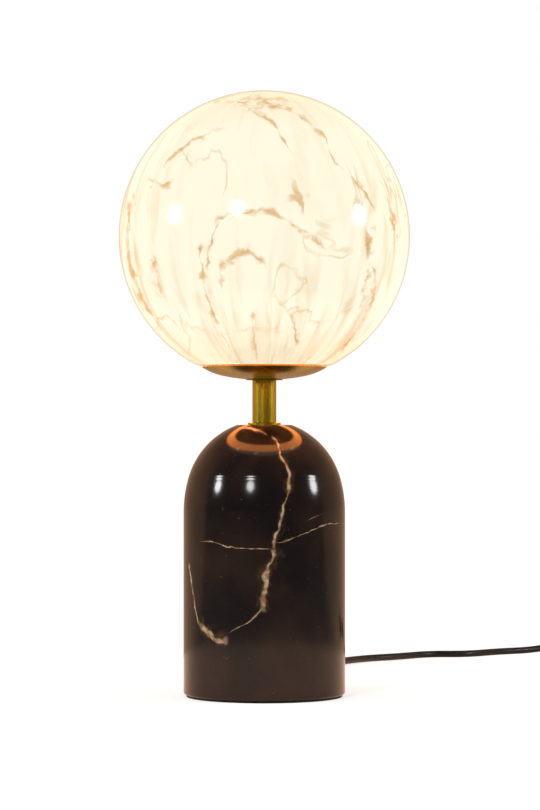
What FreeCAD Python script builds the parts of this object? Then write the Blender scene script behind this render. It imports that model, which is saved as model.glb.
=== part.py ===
"""Glass globe table lamp: a marbled glass globe on a brass dish and stem, over a turned stone base.

Millimetres. Z points up from the floor, the lamp's axis is Z, and Y points to the back, where the lead leaves.
"""
import FreeCAD, Part
import math
import os

Vector = FreeCAD.Vector
UP = Vector(0, 0, 1)
RIGHT = Vector(1, 0, 0)
BACK = Vector(0, 1, 0)
CENTRE = Vector(0, 0, 0)

# ---- driving sizes, mm ----
# stone base
pad_thickness = 1.5
pad_inset = 2.0
base_radius = 55.5
base_height = 184.8
dome_inset = 1.3
shoulder_radius = 85.0
land_radius = 18.9
foot_round = 2.0
recess_radius = 30.0
recess_depth = 44.0
stone_bore_radius = 6.0
# brass stem
flange_radius = 11.3
flange_thickness = 1.6
spigot_height = 4.0
stem_radius = 8.25
stem_wall = 1.1
stem_length = 29.3
bush_height = 6.0
# brass dish
dish_radius = 43.1
dish_wall = 1.2
dish_floor_radius = 28.8
dish_floor_curve = 140.0
dish_side_curve = 41.0
dish_lip_height = 0.6
dish_land_radius = 12.5
# glass globe
globe_radius = 100.0
globe_wall = 3.0
globe_blend = 12.0
globe_mouth_radius = 34.0
# seat and spring clips in the dish
gasket_radius = 40.0
gasket_width = 4.0
clip_count = 3
clip_plate_radius = 21.0
clip_plate_thickness = 1.0
clip_thickness = 0.6
clip_width = 8.0
clip_knee_radius = 26.0
clip_bend = 2.0
clip_height = 20.0
clip_nose_height = 12.0
clip_nose_drop = 3.0
rivet_radius = 1.5
rivet_head_radius = 2.5
rivet_head_height = 0.8
# threaded tube and its nuts
rod_radius = 5.0
rod_bore_radius = 4.0
rod_below_nut = 3.0
nut_flats = 14.0
nut_height = 3.0
washer_thickness = 1.2
rod_washer_radius = 18.0
dish_washer_radius = 9.0
# lamp holder, E27
holder_radius = 19.5
holder_wall = 2.2
holder_cap_height = 20.0
holder_floor = 2.5
holder_boss_radius = 8.0
holder_boss_height = 5.0
holder_shell_height = 30.0
holder_lip = 2.2
insert_height = 5.0
insert_ledge = 5.0
insert_boss_height = 6.0
sleeve_radius = 13.95
sleeve_wall = 0.4
sleeve_height = 28.0
grub_screw_radius = 1.5
terminal_screw_radius = 2.0
terminal_screw_height = 4.0
terminal_spacing = 14.0
# bulb, E27 cap
bulb_cap_radius = 13.2
bulb_cap_wall = 0.4
bulb_cap_height = 22.0
bulb_contact_radius = 5.0
bulb_contact_height = 1.5
bulb_insulator_height = 4.0
bulb_radius = 30.0
bulb_neck_radius = 14.5
bulb_housing_height = 40.0
bulb_wall = 1.2
board_thickness = 1.5
# lead
lead_radius = 2.7
lead_exit_height = 22.0
inner_bend = 16.0
channel_radius = 5.0
relief_flange_radius = 8.0
relief_flange_thickness = 2.0
relief_length = 24.0
relief_tip_radius = 4.2
stop_radius = 6.0
stop_length = 8.0
wire_radius = 1.1
# inline switch
switch_length = 58.0
switch_width = 24.0
switch_height = 15.0
switch_round = 3.0
rocker_length = 18.0
rocker_width = 10.0
rocker_swing = 16.0
rocker_below = 3.0
rocker_pivot_drop = 4.0
pivot_radius = 1.2
pivot_length = 1.2
switch_screw_radius = 1.5
switch_screw_head_radius = 2.8
switch_screw_head_height = 1.6
switch_screw_inset = 10.0
# wound part of the lead
lead_gap = 0.6
coil_inner_radius = 22.3
coil_turns_in = 5
coil_turns_out = 6
coil_lead_in = 52.0
coil_drop_length = 24.0
coil_lead_out = 34.0
# two-pin plug
plug_width = 35.3
plug_height = 13.7
plug_length = 36.0
plug_neck_width = 11.0
plug_relief_length = 22.0
plug_relief_radius = 4.0
pin_radius = 2.0
pin_sleeve_radius = 1.8
pin_core_radius = 1.4
pin_length = 19.0
pin_sleeve_length = 10.0
pin_spacing = 18.6
# clearances
seat_gap = 0.3
running_gap = 0.05
loose_gap = 0.5
overlap = 2.0

# ---- sizes that follow from the sizes above ----
dome_radius = base_radius - dome_inset
globe_seat_radius = dish_radius - seat_gap
globe_drop = math.sqrt((globe_radius - globe_blend) ** 2 - globe_seat_radius ** 2)
land_z = pad_thickness + base_height
stem_z = land_z + flange_thickness
dish_z = stem_z + stem_length
dish_inside_z = dish_z + dish_wall
dish_inside_curve = dish_floor_curve - dish_wall
clip_plate_z = dish_inside_z + dish_inside_curve - math.sqrt(dish_inside_curve ** 2 - clip_plate_radius ** 2)
washer_z = clip_plate_z + clip_plate_thickness
dish_nut_z = washer_z + washer_thickness
holder_z = dish_nut_z + nut_height
boss_top_z = holder_z + holder_floor + holder_boss_height
recess_top_z = pad_thickness + recess_depth
rod_nut_z = recess_top_z - washer_thickness - nut_height
rod_bottom_z = rod_nut_z - rod_below_nut
relief_tip_y = base_radius + relief_flange_thickness / 2 + relief_length


def revolve(wire_edges):
    """A solid of revolution about the lamp's axis from edges drawn in the XZ plane."""
    return Part.Face(Part.Wire(Part.__sortEdges__(wire_edges))).revolve(CENTRE, UP, 360)


def at(radius, height):
    """A point of a profile, by its distance from the axis and its height."""
    return Vector(radius, 0, height)


def line(a, b):
    return Part.LineSegment(a, b).toShape()


def arc(a, middle, b):
    return Part.Arc(a, middle, b).toShape()


def outline(points):
    """Straight edges through the points and back to the first."""
    return [line(a, b) for a, b in zip(points, points[1:] + points[:1])]


def ring(outer, inner, z, height):
    """A flat-ended ring on the lamp's axis."""
    return Part.makeCylinder(outer, height, at(0, z)).cut(Part.makeCylinder(inner, height, at(0, z)))


def around(shape, index, count):
    """One copy of a shape, turned to its place in a pattern about the lamp's axis."""
    copy = shape.copy()
    copy.rotate(CENTRE, UP, 360.0 * index / count)
    return copy


def hex_nut(z):
    """A plain hexagon nut on the threaded tube."""
    corner = nut_flats / 2 / math.cos(math.pi / 6)
    corners = [
        Vector(corner * math.cos(math.pi / 3 * i), corner * math.sin(math.pi / 3 * i), z) for i in range(6)
    ]
    body = Part.Face(Part.Wire(outline(corners))).extrude(UP * nut_height)
    return body.cut(Part.makeCylinder(rod_radius + running_gap, nut_height, at(0, z)))


# ---- base ----
def make_base_stone():
    """Turned stone: flat land on a domed top, long shoulders, straight sides, rounded foot."""
    foot_z = pad_thickness
    dome_z = land_z - math.sqrt(dome_radius ** 2 - land_radius ** 2)
    offset = shoulder_radius - dome_radius
    shoulder_x = base_radius - shoulder_radius
    shoulder_z = dome_z - math.sqrt(offset ** 2 - shoulder_x ** 2)
    join_angle = math.atan2(dome_z - shoulder_z, -shoulder_x)
    land_angle = math.asin(land_z / dome_radius - dome_z / dome_radius)

    def on_dome(angle):
        return at(dome_radius * math.cos(angle), dome_z + dome_radius * math.sin(angle))

    def on_shoulder(angle):
        return at(shoulder_x + shoulder_radius * math.cos(angle), shoulder_z + shoulder_radius * math.sin(angle))

    def on_foot(angle):
        return at(
            base_radius - foot_round + foot_round * math.cos(angle),
            foot_z + foot_round - foot_round * math.sin(angle),
        )

    stone = revolve([
        line(at(0, foot_z), on_foot(math.pi / 2)),
        arc(on_foot(math.pi / 2), on_foot(math.pi / 4), on_foot(0)),
        line(on_foot(0), on_shoulder(0)),
        arc(on_shoulder(0), on_shoulder(join_angle / 2), on_shoulder(join_angle)),
        arc(on_dome(join_angle), on_dome((join_angle + land_angle) / 2), on_dome(land_angle)),
        line(on_dome(land_angle), at(0, land_z)),
        line(at(0, land_z), at(0, foot_z)),
    ])
    recess = Part.makeCylinder(recess_radius, recess_depth, at(0, foot_z))
    bore = Part.makeCylinder(stone_bore_radius, base_height, at(0, foot_z))
    channel = Part.makeCylinder(channel_radius, base_radius, Vector(0, 0, lead_exit_height), BACK)
    spot_y = base_radius - relief_flange_thickness / 2
    spot = Part.makeCylinder(
        relief_flange_radius + running_gap, base_radius, Vector(0, spot_y, lead_exit_height), BACK
    )
    return stone.cut(recess).cut(bore).cut(channel).cut(spot)


def make_base_pad():
    """Felt disc glued under the stone, which also closes the recess."""
    return Part.makeCylinder(base_radius - pad_inset, pad_thickness)


def make_threaded_rod():
    """Hollow threaded tube that ties the base, stem, dish and lamp holder together."""
    length = boss_top_z - rod_bottom_z
    return ring(rod_radius, rod_bore_radius, rod_bottom_z, length)


def make_rod_washer():
    return ring(rod_washer_radius, rod_radius + running_gap, recess_top_z - washer_thickness, washer_thickness)


# ---- stem ----
def make_foot_flange():
    """Brass collar on the stone, with a spigot that centres the stem tube."""
    disc = ring(flange_radius, rod_radius + running_gap, land_z, flange_thickness)
    rim = [edge for edge in disc.Edges if abs(edge.BoundBox.ZMin - stem_z) < 1e-6]
    widest = max(rim, key=lambda edge: edge.BoundBox.XLength)
    disc = disc.makeFillet(flange_thickness * 0.4, [widest])
    spigot_radius = stem_radius - stem_wall - running_gap
    return disc.fuse(ring(spigot_radius, rod_radius + running_gap, stem_z, spigot_height)).removeSplitter()


def make_stem_tube():
    return ring(stem_radius, stem_radius - stem_wall, stem_z, stem_length)


def make_stem_bush():
    """Ring inside the stem's top end, which keeps the tube central under the dish."""
    bush_radius = stem_radius - stem_wall - running_gap
    return ring(bush_radius, rod_radius + running_gap, dish_z - bush_height, bush_height)


# ---- dish ----
def dish_arcs(outset):
    """The dish's meridian as points: floor arc, side arc and lip, moved outwards by a wall."""
    floor_curve = dish_floor_curve - outset
    side_curve = dish_side_curve - outset
    floor_centre_z = dish_z + dish_floor_curve
    turn = math.asin(dish_floor_radius / dish_floor_curve)
    carry = dish_floor_curve - dish_side_curve
    side_x = carry * math.sin(turn)
    side_z = floor_centre_z - carry * math.cos(turn)
    lip_radius = dish_radius - outset
    lip_turn = math.asin((lip_radius - side_x) / side_curve)

    def on_floor(angle):
        return at(floor_curve * math.sin(angle), floor_centre_z - floor_curve * math.cos(angle))

    def on_side(angle):
        return at(side_x + side_curve * math.sin(angle), side_z - side_curve * math.cos(angle))

    return on_floor, on_side, turn, lip_turn


def dish_rim_z():
    on_side, lip_turn = dish_arcs(0)[1], dish_arcs(0)[3]
    return on_side(lip_turn).z + dish_lip_height


def dish_inside_height(radius):
    """Height of the dish's inner side wall at a distance from the axis."""
    on_side = dish_arcs(dish_wall)[1]
    side_x = on_side(0).x
    return on_side(math.asin((radius - side_x) / (dish_side_curve - dish_wall))).z


def make_dish():
    """Spun brass saucer with a small turned-up lip and a flat land for the stem and nut."""
    rim_z = dish_rim_z()
    edges = []
    ends = []
    for outset in (0, dish_wall):
        on_floor, on_side, turn, lip_turn = dish_arcs(outset)
        edges.append(arc(on_floor(0), on_floor(turn / 2), on_floor(turn)))
        edges.append(arc(on_floor(turn), on_side((turn + lip_turn) / 2), on_side(lip_turn)))
        edges.append(line(on_side(lip_turn), at(dish_radius - outset, rim_z)))
        ends.append((on_floor(0), at(dish_radius - outset, rim_z)))
    edges.append(line(ends[0][1], ends[1][1]))
    edges.append(line(ends[1][0], ends[0][0]))
    saucer = revolve(edges)
    land = Part.makeCylinder(dish_land_radius, dish_wall, at(0, dish_z))
    above = Part.makeCylinder(dish_land_radius, overlap, at(0, dish_inside_z))
    hole = Part.makeCylinder(rod_radius + running_gap, dish_wall + overlap, at(0, dish_z))
    return saucer.fuse(land).cut(above).cut(hole).removeSplitter()


# ---- globe ----
globe_underside_z = dish_rim_z() + seat_gap
globe_centre_z = globe_underside_z + globe_blend + globe_drop


def globe_meridian(outset):
    """The globe's meridian, drawn at the outer face or moved in by the glass wall."""
    radius = globe_radius - outset
    blend = globe_blend - outset
    blend_x = globe_seat_radius
    blend_z = globe_centre_z - globe_drop
    turn = math.atan2(globe_drop, blend_x)

    def on_sphere(angle):
        return at(radius * math.cos(angle), globe_centre_z + radius * math.sin(angle))

    def on_blend(angle):
        return at(blend_x + blend * math.cos(angle), blend_z + blend * math.sin(angle))

    top = math.pi / 2
    bottom = -math.pi / 2
    under = at(globe_mouth_radius, on_blend(bottom).z)
    return [
        arc(on_sphere(top), on_sphere((top - turn) / 2), on_sphere(-turn)),
        arc(on_blend(-turn), on_blend((bottom - turn) / 2), on_blend(bottom)),
        line(on_blend(bottom), under),
    ], on_sphere(top), under


def make_globe():
    """Blown glass globe: a sphere that tucks under to a flat seat round its open mouth."""
    outside, outer_top, outer_edge = globe_meridian(0)
    inside, inner_top, inner_edge = globe_meridian(globe_wall)
    glass = revolve(outside + inside + [line(outer_top, inner_top), line(outer_edge, inner_edge)])
    mouth = [
        edge for edge in glass.Edges
        if abs(edge.BoundBox.XLength / 2 - globe_mouth_radius) < 1e-3 and edge.BoundBox.ZLength < 1e-3
    ]
    return glass.makeFillet(globe_wall / 4, mouth)


def make_globe_gasket():
    """Soft ring on the dish's shoulder, flat on top, where the glass sits."""
    bottom_z = dish_inside_height(gasket_radius)
    return ring(gasket_radius, gasket_radius - gasket_width, bottom_z, globe_underside_z - bottom_z)


# ---- spring clips ----
rivet_circle = (dish_washer_radius + clip_plate_radius) / 2


def make_clip_plate():
    """Steel disc with a hub, clamped in the dish with its rim on the floor, which carries the spring clips."""
    hub = ring(dish_washer_radius, rod_radius + running_gap, dish_inside_z, clip_plate_z - dish_inside_z)
    disc = ring(clip_plate_radius, rod_radius + running_gap, clip_plate_z, clip_plate_thickness)
    plate = disc.fuse(hub)
    for index in range(clip_count):
        hole = Part.makeCylinder(rivet_radius, clip_plate_thickness, at(rivet_circle, clip_plate_z))
        plate = plate.cut(around(hole, index, clip_count))
    return plate.removeSplitter()


def make_clip():
    """Leaf spring: flat foot on the plate, a knee, and a nosed blade just inside the glass mouth."""
    middle_z = washer_z + clip_thickness / 2
    foot = at(dish_washer_radius + loose_gap + rivet_head_radius / 2, middle_z)
    knee_start = at(clip_knee_radius - clip_bend, middle_z)
    knee_end = at(clip_knee_radius, middle_z + clip_bend)
    swing = clip_bend * (1 - math.sin(math.pi / 4))
    knee_middle = at(clip_knee_radius - swing, middle_z + swing)
    nose_radius = globe_mouth_radius - seat_gap - clip_thickness / 2
    nose = at(nose_radius, middle_z + clip_nose_height)
    tip = at(nose_radius - clip_nose_drop, middle_z + clip_height)
    path = Part.Wire([
        line(foot, knee_start),
        arc(knee_start, knee_middle, knee_end),
        line(knee_end, nose),
        line(nose, tip),
    ])
    section = path.makeOffset2D(clip_thickness / 2, 0, True, True)
    blade = section.extrude(BACK * clip_width)
    blade.translate(BACK * (-clip_width / 2))
    return blade.cut(Part.makeCylinder(rivet_radius + running_gap, overlap, at(rivet_circle, washer_z - overlap / 2)))


def make_clip_rivet():
    """Pan-headed rivet through the plate and the clip's foot."""
    head_z = washer_z + clip_thickness
    shank = Part.makeCylinder(rivet_radius, head_z - clip_plate_z, at(rivet_circle, clip_plate_z))
    head = Part.makeCylinder(rivet_head_radius, rivet_head_height, at(rivet_circle, head_z))
    return shank.fuse(head).removeSplitter()


# ---- lamp holder ----
holder_top_z = holder_z + holder_cap_height + holder_shell_height
insert_z = holder_z + holder_cap_height - insert_ledge
insert_radius = holder_radius - holder_wall - seat_gap
insert_boss_radius = sleeve_radius - sleeve_wall - loose_gap
sleeve_z = insert_z + insert_height
tip_z = sleeve_z + insert_boss_height + 3.0


def make_holder_cap():
    """Lower half of the lamp holder, a cup screwed on the tube, with a ledge for the insert."""
    inner = holder_radius - holder_wall
    cup = Part.makeCylinder(holder_radius, holder_cap_height, at(0, holder_z))
    lower = [edge for edge in cup.Edges if abs(edge.BoundBox.ZMax - holder_z) < 1e-6]
    cup = cup.makeFillet(holder_wall, lower)
    ledge_inner = inner - holder_wall
    cup = cup.cut(Part.makeCylinder(ledge_inner, holder_cap_height, at(0, holder_z + holder_floor)))
    cup = cup.cut(Part.makeCylinder(inner, holder_cap_height, at(0, insert_z)))
    cup = cup.fuse(Part.makeCylinder(holder_boss_radius, boss_top_z - holder_z, at(0, holder_z)))
    cup = cup.cut(Part.makeCylinder(rod_radius + running_gap, holder_cap_height, at(0, holder_z)))
    side_z = boss_top_z - holder_boss_height / 2
    side_hole = Part.makeCylinder(grub_screw_radius + running_gap, holder_radius, at(rod_radius, side_z), RIGHT)
    return cup.cut(side_hole).removeSplitter()


def make_holder_grub_screw():
    """Set screw through the cap's boss that stops the holder turning on the tube."""
    side_z = boss_top_z - holder_boss_height / 2
    start = rod_radius + running_gap
    return Part.makeCylinder(grub_screw_radius, holder_boss_radius - start, at(start, side_z), RIGHT)


def wire_places():
    return [Vector(0, side * terminal_spacing / 2, 0) for side in (-1, 1)]


def make_holder_insert():
    """Ceramic core: a flange on the cap's ledge, a boss inside the screw sleeve, two wire holes."""
    flange = Part.makeCylinder(insert_radius, insert_height, at(0, insert_z))
    boss = Part.makeCylinder(insert_boss_radius, insert_boss_height, at(0, sleeve_z))
    insert = flange.fuse(boss)
    for place in wire_places():
        screw_seat = place + UP * (sleeve_z + insert_boss_height - terminal_screw_height)
        insert = insert.cut(Part.makeCylinder(terminal_screw_radius + running_gap, insert_boss_height, screw_seat))
        insert = insert.cut(
            Part.makeCylinder(wire_radius + loose_gap, insert_height + insert_boss_height, place + UP * insert_z)
        )
    return insert.removeSplitter()


def make_terminal_screws():
    """Two terminal screws sunk in the insert's boss."""
    seat_z = sleeve_z + insert_boss_height - terminal_screw_height
    return Part.makeCompound([
        Part.makeCylinder(terminal_screw_radius, terminal_screw_height - seat_gap, place + UP * seat_z)
        for place in wire_places()
    ])


def make_holder_shell():
    """Upper half of the lamp holder, a skirt with a turned-in mouth."""
    z = holder_z + holder_cap_height
    skirt = Part.makeCylinder(holder_radius, holder_shell_height, at(0, z))
    upper = [edge for edge in skirt.Edges if abs(edge.BoundBox.ZMin - holder_top_z) < 1e-6]
    skirt = skirt.makeFillet(holder_wall * 0.7, upper)
    inner = holder_radius - holder_wall
    skirt = skirt.cut(Part.makeCylinder(inner, holder_shell_height - holder_lip, at(0, z)))
    mouth_radius = sleeve_radius + loose_gap
    return skirt.cut(Part.makeCylinder(mouth_radius, holder_shell_height, at(0, z)))


def make_holder_sleeve():
    """Thin brass sleeve that the bulb's cap screws into."""
    return ring(sleeve_radius, sleeve_radius - sleeve_wall, sleeve_z, sleeve_height)


def make_holder_contact():
    """Bent brass tongue on the insert's boss that meets the bulb's centre contact."""
    boss_top = sleeve_z + insert_boss_height
    half = clip_thickness / 2
    foot = at(-bulb_contact_radius, boss_top + half)
    heel = at(1.0, boss_top + half)
    tip = at(-bulb_contact_radius + 2.0, tip_z - half - seat_gap)
    path = Part.Wire([line(foot, heel), line(heel, tip)])
    tongue = path.makeOffset2D(half, 0, True, True).extrude(BACK * bulb_contact_radius)
    tongue.translate(BACK * (-bulb_contact_radius / 2))
    return tongue


def make_lead_wires():
    """Two insulated wires that fan out from the sheath's end to the terminals."""
    start_z = boss_top_z + wire_radius
    rise = insert_z - start_z
    wires = []
    for place in wire_places():
        side = 1 if place.y > 0 else -1
        first = Vector(0, side * (wire_radius + running_gap), start_z)
        low = Vector(0, first.y, start_z + rise * 0.15)
        high = Vector(0, place.y, start_z + rise * 0.75)
        last = Vector(0, place.y, sleeve_z + insert_boss_height - terminal_screw_height)
        wires.append(tube_along([first, low, high, last], wire_radius)[0])
    return Part.makeCompound(wires)


# ---- bulb ----
bulb_shell_z = tip_z + bulb_contact_height + bulb_insulator_height / 2
bulb_body_z = bulb_shell_z + bulb_cap_height
bulb_dome_z = bulb_body_z + bulb_housing_height


def make_bulb_contact():
    return Part.makeCylinder(bulb_contact_radius, bulb_contact_height, at(0, tip_z))


def make_bulb_insulator():
    """Tapered insulating ring between the centre contact and the screw cap."""
    z = tip_z + bulb_contact_height
    return Part.makeCone(bulb_contact_radius + 1.0, bulb_cap_radius - bulb_cap_wall - running_gap,
                         bulb_insulator_height, at(0, z))


def make_bulb_cap():
    """Screw cap, a thin shell with its lower edge rolled over the insulator."""
    return ring(bulb_cap_radius, bulb_cap_radius - bulb_cap_wall, bulb_shell_z, bulb_cap_height)


def make_bulb_housing():
    """Flared plastic body above the cap, with a spigot that fills the cap."""
    bottom_z = tip_z + bulb_contact_height + bulb_insulator_height
    inner = bulb_cap_radius - bulb_cap_wall - running_gap
    flare_low = at(bulb_neck_radius, bulb_body_z + 3.0)
    flare_top = at(bulb_radius - bulb_wall, bulb_dome_z)
    bulge = at((flare_low.x + flare_top.x) / 2 - 1.5, (flare_low.z + flare_top.z) / 2)
    return revolve([
        line(at(0, bottom_z), at(inner, bottom_z)),
        line(at(inner, bottom_z), at(inner, bulb_body_z)),
        line(at(inner, bulb_body_z), at(bulb_neck_radius, bulb_body_z)),
        line(at(bulb_neck_radius, bulb_body_z), flare_low),
        arc(flare_low, bulge, flare_top),
        line(flare_top, at(0, bulb_dome_z)),
        line(at(0, bulb_dome_z), at(0, bottom_z)),
    ])


def make_bulb_led_board():
    """Round board on top of the housing with a ring of small light sources."""
    board = Part.makeCylinder(bulb_radius * 0.7, board_thickness, at(0, bulb_dome_z))
    chip = Part.makeBox(3.0, 3.0, 1.0, Vector(bulb_radius * 0.45, -1.5, bulb_dome_z + board_thickness))
    for index in range(8):
        board = board.fuse(around(chip, index, 8))
    return board.removeSplitter()


def make_bulb_dome():
    """Frosted shell, a little less than a full sphere, seated on the housing's rim."""
    dome_centre_z = bulb_dome_z + bulb_radius * 0.25
    start = -math.asin(0.25)

    def on_shell(radius, angle):
        return at(radius * math.cos(angle), dome_centre_z + radius * math.sin(angle))

    inner_radius = bulb_radius - bulb_wall
    inner_start = -math.asin(bulb_radius * 0.25 / inner_radius)
    top = math.pi / 2
    return revolve([
        arc(on_shell(bulb_radius, start), on_shell(bulb_radius, (start + top) / 2), on_shell(bulb_radius, top)),
        arc(on_shell(inner_radius, inner_start), on_shell(inner_radius, (inner_start + top) / 2),
            on_shell(inner_radius, top)),
        line(on_shell(bulb_radius, top), on_shell(inner_radius, top)),
        line(on_shell(bulb_radius, start), on_shell(inner_radius, inner_start)),
    ])


# ---- tubes for the lead ----
def rounded_path(points):
    """Straight runs joined by tangent arcs, as large as the shorter run beside each corner allows."""
    edges = []
    radii = []
    last = points[0]
    for before, corner, after in zip(points, points[1:], points[2:]):
        inward = (corner - before).normalize()
        onward = (after - corner).normalize()
        half_turn = inward.getAngle(onward) / 2
        reach = 0.45 * min((corner - before).Length, (after - corner).Length)
        radii.append(reach / math.tan(half_turn))
        start = corner - inward * reach
        end = corner + onward * reach
        bisector = (onward - inward).normalize()
        middle = corner + bisector * (radii[-1] / math.cos(half_turn) - radii[-1])
        edges.append(line(last, start))
        edges.append(arc(start, middle, end))
        last = end
    edges.append(line(last, points[-1]))
    return edges, radii


def pipe(edges, radius):
    """A round tube along tangent edges."""
    path = Part.Wire(edges)
    first = edges[0]
    start = first.valueAt(first.FirstParameter)
    heading = first.tangentAt(first.FirstParameter)
    section = Part.Wire([Part.Circle(start, heading, radius).toShape()])
    return path.makePipeShell([section], True, False)


def tube_along(points, radius):
    edges, radii = rounded_path(points)
    return pipe(edges, radius), radii, sum(edge.Length for edge in edges)


# ---- lead inside the lamp ----
def make_lead_inside():
    """The lead's own sheath from the relief's tip, through the recess and up the threaded tube."""
    turn = Vector(0, inner_bend, lead_exit_height)
    swing = inner_bend * (1 - math.sin(math.pi / 4))
    edges = [
        line(Vector(0, relief_tip_y, lead_exit_height), turn),
        arc(turn, Vector(0, swing, lead_exit_height + swing), at(0, lead_exit_height + inner_bend)),
        line(at(0, lead_exit_height + inner_bend), at(0, boss_top_z)),
    ]
    return pipe(edges, lead_radius)


def make_cord_relief():
    """Rubber bush in the stone's channel, with a flange outside and a tapered bend relief."""
    flange_y = base_radius - relief_flange_thickness / 2
    plug_y = recess_radius
    centre = UP * lead_exit_height
    body = Part.makeCylinder(channel_radius - running_gap, flange_y - plug_y, centre + BACK * plug_y, BACK)
    flange = Part.makeCylinder(relief_flange_radius, relief_flange_thickness, centre + BACK * flange_y, BACK)
    nose_y = flange_y + relief_flange_thickness
    nose = Part.makeCone(
        relief_flange_radius * 0.75, relief_tip_radius, relief_tip_y - nose_y, centre + BACK * nose_y, BACK
    )
    bore = Part.makeCylinder(lead_radius + running_gap, relief_tip_y, centre, BACK)
    return body.fuse(flange).fuse(nose).cut(bore).removeSplitter()


def make_cord_stop():
    """Clamp collar on the lead behind the stone's wall, which takes a pull on the lead."""
    wall_y = math.sqrt(recess_radius ** 2 - stop_radius ** 2) - seat_gap
    centre = Vector(0, wall_y - stop_length, lead_exit_height)
    collar = Part.makeCylinder(stop_radius, stop_length, centre, BACK)
    return collar.cut(Part.makeCylinder(lead_radius + running_gap, stop_length, centre, BACK))


# ---- free lead on the floor ----
floor_height = lead_radius + running_gap
switch_centre_z = switch_height / 2
free_points = [
    Vector(0, relief_tip_y, lead_exit_height),
    Vector(0, 106, lead_exit_height),
    Vector(6, 141, 17),
    Vector(20, 184, 7.5),
    Vector(38, 228, floor_height),
    Vector(57, 272, floor_height),
    Vector(80, 306, floor_height),
    Vector(107, 324, floor_height),
    Vector(132, 352, floor_height),
    Vector(164, 350, floor_height),
    Vector(190, 378, floor_height),
    Vector(222, 396, floor_height),
    Vector(246, 402, switch_centre_z),
    Vector(266, 402, switch_centre_z),
]
switch_start = free_points[-1]
switch_end = switch_start + RIGHT * switch_length


# ---- inline switch ----
def switch_block():
    """The switch's outer form, a slim rounded bar along X."""
    half = switch_width / 2
    neck = lead_radius + 2.0
    x0, x1, y = switch_start.x, switch_end.x, switch_start.y
    taper = switch_length / 5
    plan = [
        Vector(x0, y - neck, 0), Vector(x0 + taper, y - half, 0), Vector(x1 - taper, y - half, 0),
        Vector(x1, y - neck, 0), Vector(x1, y + neck, 0), Vector(x1 - taper, y + half, 0),
        Vector(x0 + taper, y + half, 0), Vector(x0, y + neck, 0),
    ]
    block = Part.Face(Part.Wire(outline(plan))).extrude(UP * switch_height)
    corners = [
        edge for edge in block.Edges
        if edge.BoundBox.ZLength > switch_height / 2 and x0 + 1 < edge.BoundBox.Center.x < x1 - 1
    ]
    block = block.makeFillet(switch_round * 2, corners)
    rims = [edge for edge in block.Edges if edge.BoundBox.ZLength < 1e-6
            and x0 + 1e-3 < edge.BoundBox.Center.x < x1 - 1e-3]
    return block.makeFillet(switch_round / 2, rims)


rocker_pivot = Vector(
    (switch_start.x + switch_end.x) / 2, switch_start.y, switch_height - rocker_pivot_drop
)


def switch_cavity():
    """Space for the rocker, open at the top of the switch."""
    length = rocker_length + 2 * loose_gap
    width = rocker_width + 2 * loose_gap
    depth = rocker_below + (rocker_length / 2) * math.sin(math.radians(rocker_swing)) + loose_gap
    corner = rocker_pivot + Vector(-length / 2, -width / 2, -depth)
    return Part.makeBox(length, width, depth + switch_height, corner)


def screw_places():
    middle = (switch_start.x + switch_end.x) / 2
    reach = switch_length / 2 - switch_screw_inset
    return [Vector(middle + side * reach, switch_start.y + side * switch_width / 4, 0) for side in (-1, 1)]


def switch_screw_cuts(gap):
    """The two screws' own form, widened by a gap when it is used as their holes."""
    depth = switch_height * 0.75
    cuts = []
    for place in screw_places():
        shank = Part.makeCylinder(switch_screw_radius + gap, depth + gap, place)
        head_z = seat_gap
        head = Part.makeCylinder(switch_screw_head_radius + gap, switch_screw_head_height + head_z + gap, place)
        cuts.append(shank.fuse(head).cut(Part.makeBox(switch_width, switch_width, head_z,
                    place - Vector(switch_width / 2, switch_width / 2, 0))) if gap == 0 else shank.fuse(head))
    return cuts


def make_switch_halves():
    """Lower and upper shell of the switch, split at the lead's height."""
    block = switch_block().cut(switch_cavity())
    for cut in switch_screw_cuts(running_gap):
        block = block.cut(cut)
    pivot_reach = rocker_width / 2 + loose_gap + pivot_length
    pivot_bore = Part.makeCylinder(
        pivot_radius + running_gap, 2 * pivot_reach, rocker_pivot - BACK * pivot_reach, BACK
    )
    block = block.cut(pivot_bore)
    slab = Part.makeBox(switch_length, switch_width, switch_centre_z,
                        Vector(switch_start.x, switch_start.y - switch_width / 2, 0))
    return block.common(slab), block.cut(slab)


def make_switch_rocker():
    """Rocker with a shallow V top and two stub pivots, resting with its near end pressed."""
    reach = rocker_length / 2
    half = rocker_width / 2
    drum = Part.makeCylinder(reach, rocker_width, rocker_pivot - BACK * half, BACK)
    top = switch_height - rocker_pivot.z
    rise = reach * math.tan(math.radians(rocker_swing / 2))
    wedge = [
        rocker_pivot + Vector(-reach - 1, -half, -rocker_below),
        rocker_pivot + Vector(reach + 1, -half, -rocker_below),
        rocker_pivot + Vector(reach + 1, -half, top + rise),
        rocker_pivot + Vector(0, -half, top - 0.4),
        rocker_pivot + Vector(-reach - 1, -half, top + rise),
    ]
    body = drum.common(Part.Face(Part.Wire(outline(wedge))).extrude(BACK * rocker_width))
    stub_reach = half + loose_gap + pivot_length - seat_gap
    stubs = Part.makeCylinder(pivot_radius, 2 * stub_reach, rocker_pivot - BACK * stub_reach, BACK)
    rocker = body.fuse(stubs).removeSplitter()
    rocker.rotate(rocker_pivot, BACK, rocker_swing / 2)
    return rocker


# ---- wound lead ----
def biarc(start, heading, end, end_heading):
    """Two tangent arcs from one point and direction to another."""
    span = end - start
    both = heading + end_heading
    a = 2 * (1 - heading.dot(end_heading))
    b = 2 * span.dot(both)
    c = -span.dot(span)
    if abs(a) < 1e-9:
        reach = -c / b
    else:
        reach = (-b + math.sqrt(b * b - 4 * a * c)) / (2 * a)
    joint = (start + end + (heading - end_heading) * reach) * 0.5
    return [tangent_arc(start, heading, joint), tangent_arc(end, end_heading * -1, joint, True)]


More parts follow.
